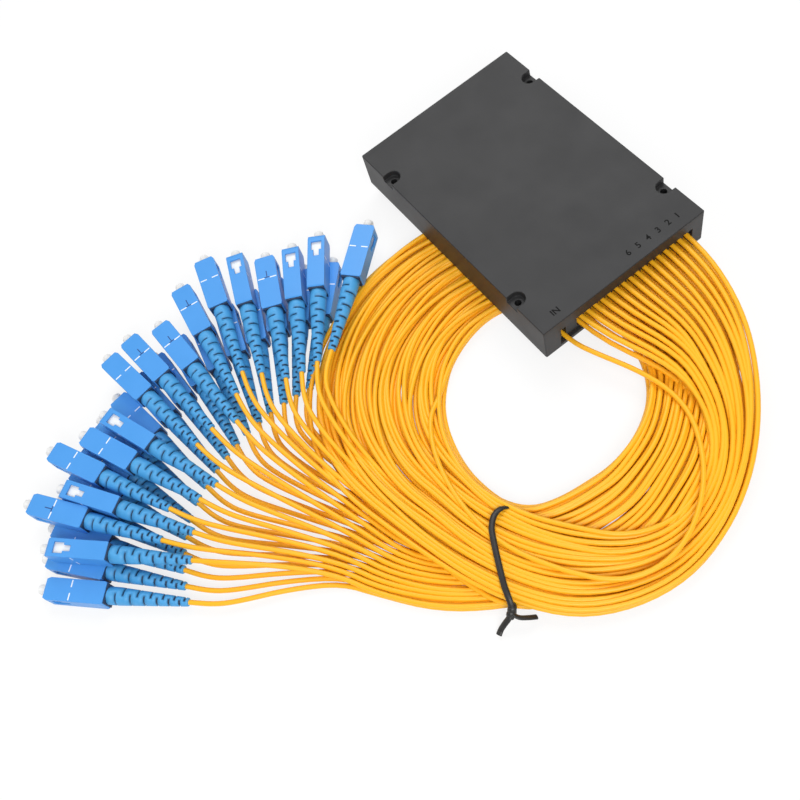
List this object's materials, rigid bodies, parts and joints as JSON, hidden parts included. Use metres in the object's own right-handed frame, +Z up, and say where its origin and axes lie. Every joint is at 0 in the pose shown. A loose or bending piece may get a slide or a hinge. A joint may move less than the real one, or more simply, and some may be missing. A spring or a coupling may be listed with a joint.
{
  "type": "fibre optic splitter",
  "caption": "Flat black splitter module with two rows of yellow pigtails coiled and tied, each ending in a blue push-pull plug with a boot and a dust cap.",
  "frame": {"origin": "centre of the module box", "axes": "+X along the long side towards the outlets, +Z up out of the lid"},
  "size_m": [0.2318, 0.2912, 0.024],
  "materials": {
    "black_case": "fine textured black ABS",
    "black_comb": "matte black plastic",
    "bonding_resin": "cured resin",
    "foam_tape": "white foam tape",
    "chip_steel": "brushed",
    "clear_fibre": "clear buffered fibre",
    "yellow_jacket": "satin yellow jacket",
    "black_tie": "black coated twist tie",
    "white_frame": "white moulded plastic",
    "ceramic": "polished ceramic",
    "blue_boot": "teal blue soft boot",
    "milky_cap": "translucent milky plastic",
    "blue_grip": "blue moulded plastic"
  },
  "bodies": {
    "splitter": {"base_tray": "black_case", "lid": "black_case", "cable_comb": "black_comb", "anchor_block": "bonding_resin", "chip_pad": "foam_tape", "splitter_chip": "chip_steel", "fibre_ribbon": "clear_fibre", "input_fibre": "clear_fibre", "upper_outlet_cables": "yellow_jacket", "lower_outlet_cables": "yellow_jacket", "input_cable": "yellow_jacket", "upper_tails": "yellow_jacket", "lower_tails": "yellow_jacket", "cable_coil": "yellow_jacket", "coil_tie": "black_tie", "plug_frames": "white_frame", "ferrules": "ceramic", "boots": "blue_boot", "dust_caps": "milky_cap"},
    "grip_01": {"grip_01": "blue_grip"},
    "grip_02": {"grip_02": "blue_grip"},
    "grip_03": {"grip_03": "blue_grip"},
    "grip_04": {"grip_04": "blue_grip"},
    "grip_05": {"grip_05": "blue_grip"},
    "grip_06": {"grip_06": "blue_grip"},
    "grip_07": {"grip_07": "blue_grip"},
    "grip_08": {"grip_08": "blue_grip"},
    "grip_09": {"grip_09": "blue_grip"},
    "grip_10": {"grip_10": "blue_grip"},
    "grip_11": {"grip_11": "blue_grip"},
    "grip_12": {"grip_12": "blue_grip"},
    "grip_13": {"grip_13": "blue_grip"},
    "grip_14": {"grip_14": "blue_grip"},
    "grip_15": {"grip_15": "blue_grip"},
    "grip_16": {"grip_16": "blue_grip"},
    "grip_17": {"grip_17": "blue_grip"},
    "grip_18": {"grip_18": "blue_grip"},
    "grip_19": {"grip_19": "blue_grip"},
    "grip_20": {"grip_20": "blue_grip"},
    "grip_21": {"grip_21": "blue_grip"},
    "grip_22": {"grip_22": "blue_grip"},
    "grip_23": {"grip_23": "blue_grip"},
    "grip_24": {"grip_24": "blue_grip"},
    "grip_25": {"grip_25": "blue_grip"},
    "grip_26": {"grip_26": "blue_grip"},
    "grip_27": {"grip_27": "blue_grip"},
    "grip_28": {"grip_28": "blue_grip"},
    "grip_29": {"grip_29": "blue_grip"},
    "grip_30": {"grip_30": "blue_grip"},
    "grip_31": {"grip_31": "blue_grip"},
    "grip_32": {"grip_32": "blue_grip"},
    "grip_33": {"grip_33": "blue_grip"}
  },
  "joints": [
    {"name": "grip_01_slide", "type": "slide", "parent": "splitter", "child": "grip_01", "axis": [-0.6428, 0.766, 0], "range_m": [0, 0.002]},
    {"name": "grip_02_slide", "type": "slide", "parent": "splitter", "child": "grip_02", "axis": [-0.8192, 0.5736, 0], "range_m": [0, 0.002]},
    {"name": "grip_03_slide", "type": "slide", "parent": "splitter", "child": "grip_03", "axis": [-0.866, 0.5, 0], "range_m": [0, 0.002]},
    {"name": "grip_04_slide", "type": "slide", "parent": "splitter", "child": "grip_04", "axis": [-0.9063, 0.4226, 0], "range_m": [0, 0.002]},
    {"name": "grip_05_slide", "type": "slide", "parent": "splitter", "child": "grip_05", "axis": [-0.9272, 0.3746, 0], "range_m": [0, 0.002]},
    {"name": "grip_06_slide", "type": "slide", "parent": "splitter", "child": "grip_06", "axis": [-0.9613, 0.2756, 0], "range_m": [0, 0.002]},
    {"name": "grip_07_slide", "type": "slide", "parent": "splitter", "child": "grip_07", "axis": [-0.9903, 0.1392, 0], "range_m": [0, 0.002]},
    {"name": "grip_08_slide", "type": "slide", "parent": "splitter", "child": "grip_08", "axis": [-0.9994, -0.0349, 0], "range_m": [0, 0.002]},
    {"name": "grip_09_slide", "type": "slide", "parent": "splitter", "child": "grip_09", "axis": [-0.9945, -0.1045, 0], "range_m": [0, 0.002]},
    {"name": "grip_10_slide", "type": "slide", "parent": "splitter", "child": "grip_10", "axis": [-0.9877, -0.1564, 0], "range_m": [0, 0.002]},
    {"name": "grip_11_slide", "type": "slide", "parent": "splitter", "child": "grip_11", "axis": [-0.9397, -0.342, 0], "range_m": [0, 0.002]},
    {"name": "grip_12_slide", "type": "slide", "parent": "splitter", "child": "grip_12", "axis": [-0.9205, -0.3907, 0], "range_m": [0, 0.002]},
    {"name": "grip_13_slide", "type": "slide", "parent": "splitter", "child": "grip_13", "axis": [-0.8988, -0.4384, 0], "range_m": [0, 0.002]},
    {"name": "grip_14_slide", "type": "slide", "parent": "splitter", "child": "grip_14", "axis": [-0.8387, -0.5446, 0], "range_m": [0, 0.002]},
    {"name": "grip_15_slide", "type": "slide", "parent": "splitter", "child": "grip_15", "axis": [-0.809, -0.5878, 0], "range_m": [0, 0.002]},
    {"name": "grip_16_slide", "type": "slide", "parent": "splitter", "child": "grip_16", "axis": [-0.6947, -0.7193, 0], "range_m": [0, 0.002]},
    {"name": "grip_17_slide", "type": "slide", "parent": "splitter", "child": "grip_17", "axis": [-0.7193, 0.6947, 0], "range_m": [0, 0.002]},
    {"name": "grip_18_slide", "type": "slide", "parent": "splitter", "child": "grip_18", "axis": [-0.7986, 0.6018, 0], "range_m": [0, 0.002]},
    {"name": "grip_19_slide", "type": "slide", "parent": "splitter", "child": "grip_19", "axis": [-0.866, 0.5, 0], "range_m": [0, 0.002]},
    {"name": "grip_20_slide", "type": "slide", "parent": "splitter", "child": "grip_20", "axis": [-0.9135, 0.4067, 0], "range_m": [0, 0.002]},
    {"name": "grip_21_slide", "type": "slide", "parent": "splitter", "child": "grip_21", "axis": [-0.9511, 0.309, 0], "range_m": [0, 0.002]},
    {"name": "grip_22_slide", "type": "slide", "parent": "splitter", "child": "grip_22", "axis": [-0.9781, 0.2079, 0], "range_m": [0, 0.002]},
    {"name": "grip_23_slide", "type": "slide", "parent": "splitter", "child": "grip_23", "axis": [-0.9945, 0.1045, 0], "range_m": [0, 0.002]},
    {"name": "grip_24_slide", "type": "slide", "parent": "splitter", "child": "grip_24", "axis": [-1, 0, 0], "range_m": [0, 0.002]},
    {"name": "grip_25_slide", "type": "slide", "parent": "splitter", "child": "grip_25", "axis": [-0.9962, -0.0872, 0], "range_m": [0, 0.002]},
    {"name": "grip_26_slide", "type": "slide", "parent": "splitter", "child": "grip_26", "axis": [-0.9877, -0.1564, 0], "range_m": [0, 0.002]},
    {"name": "grip_27_slide", "type": "slide", "parent": "splitter", "child": "grip_27", "axis": [-0.9744, -0.225, 0], "range_m": [0, 0.002]},
    {"name": "grip_28_slide", "type": "slide", "parent": "splitter", "child": "grip_28", "axis": [-0.9537, -0.3007, 0], "range_m": [0, 0.002]},
    {"name": "grip_29_slide", "type": "slide", "parent": "splitter", "child": "grip_29", "axis": [-0.9239, -0.3827, 0], "range_m": [0, 0.002]},
    {"name": "grip_30_slide", "type": "slide", "parent": "splitter", "child": "grip_30", "axis": [-0.8829, -0.4695, 0], "range_m": [0, 0.002]},
    {"name": "grip_31_slide", "type": "slide", "parent": "splitter", "child": "grip_31", "axis": [-0.829, -0.5592, 0], "range_m": [0, 0.002]},
    {"name": "grip_32_slide", "type": "slide", "parent": "splitter", "child": "grip_32", "axis": [-0.766, -0.6428, 0], "range_m": [0, 0.002]},
    {"name": "grip_33_slide", "type": "slide", "parent": "splitter", "child": "grip_33", "axis": [-0.6947, -0.7193, 0], "range_m": [0, 0.002]}
  ]
}
